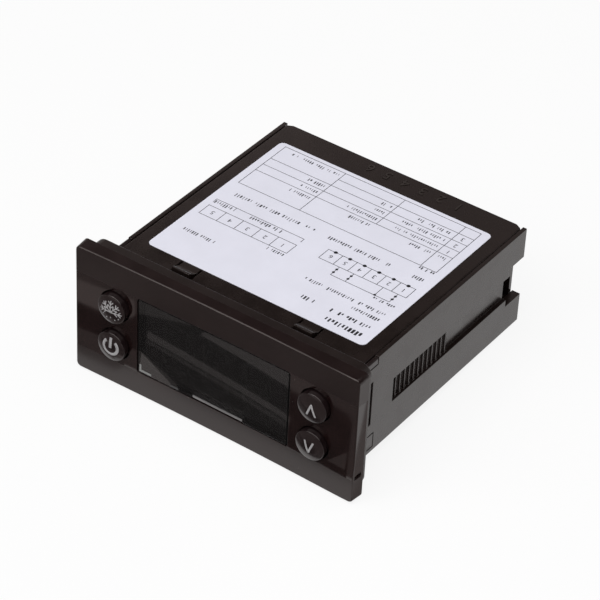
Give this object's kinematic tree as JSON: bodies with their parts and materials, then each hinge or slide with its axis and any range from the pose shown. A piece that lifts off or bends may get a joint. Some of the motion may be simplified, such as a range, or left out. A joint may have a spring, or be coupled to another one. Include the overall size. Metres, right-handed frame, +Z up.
{
  "type": "temperature controller",
  "caption": "Panel-mounted temperature controller: black box body with ratchet rails, glossy bezel with a digit window, domed push buttons, label, and rear plug sockets.",
  "frame": {"origin": "centre of the panel opening, in the plane of the panel's front face", "axes": "+X to the right seen from the front, +Y from the front to the rear, +Z up"},
  "size_m": [0.0796, 0.0772, 0.0356],
  "materials": {
    "bezel_black": "glossy black moulding",
    "window_smoke": "clear smoked lens",
    "light_guide": "milky clear",
    "seal_rubber": "soft matt",
    "button_black": "glossy black cap",
    "body_black": "satin black moulding",
    "label_white": "matt film",
    "socket_black": "satin",
    "pin_metal": "tinned",
    "board_green": "lacquered board",
    "display_grey": "matt",
    "segment_pale": "matt",
    "switch_black": "matt",
    "component_black": "moulded",
    "ferrite_grey": "sintered",
    "coil_tape": "taped winding",
    "film_block": "moulded block",
    "can_sleeve": "shrunk sleeve",
    "disc_blue": "dipped disc"
  },
  "bodies": {
    "controller": {"front_bezel": "bezel_black", "display_window": "window_smoke", "light_bar": "light_guide", "panel_gasket": "seal_rubber", "key_switches": "switch_black", "housing": "body_black", "top_cover": "body_black", "rating_label": "label_white", "rear_panel": "body_black", "mains_socket": "socket_black", "mains_pins": "pin_metal", "sensor_socket": "socket_black", "sensor_pins": "pin_metal", "link_strip": "socket_black", "link_pins": "pin_metal", "display_board": "board_green", "main_board": "board_green", "display_block": "display_grey", "digit_segments": "segment_pale", "relay": "component_black", "transformer_core": "ferrite_grey", "transformer_coil": "coil_tape", "film_capacitor": "film_block", "bulk_capacitor": "can_sleeve", "output_capacitor": "can_sleeve", "fuse": "component_black", "varistor": "disc_blue", "buzzer": "component_black", "control_chip": "component_black"},
    "defrost_key": {"defrost_button": "button_black", "defrost_plunger": "switch_black"},
    "power_key": {"power_button": "button_black", "power_plunger": "switch_black"},
    "up_key": {"up_button": "button_black", "up_plunger": "switch_black"},
    "down_key": {"down_button": "button_black", "down_plunger": "switch_black"}
  },
  "joints": [
    {"name": "defrost_press", "type": "slide", "parent": "controller", "child": "defrost_key", "axis": [0, 1, 0], "range_m": [0, 0.0005], "stiffness_N_per_m": 3000},
    {"name": "power_press", "type": "slide", "parent": "controller", "child": "power_key", "axis": [0, 1, 0], "range_m": [0, 0.0005], "stiffness_N_per_m": 3000},
    {"name": "up_press", "type": "slide", "parent": "controller", "child": "up_key", "axis": [0, 1, 0], "range_m": [0, 0.0005], "stiffness_N_per_m": 3000},
    {"name": "down_press", "type": "slide", "parent": "controller", "child": "down_key", "axis": [0, 1, 0], "range_m": [0, 0.0005], "stiffness_N_per_m": 3000}
  ]
}
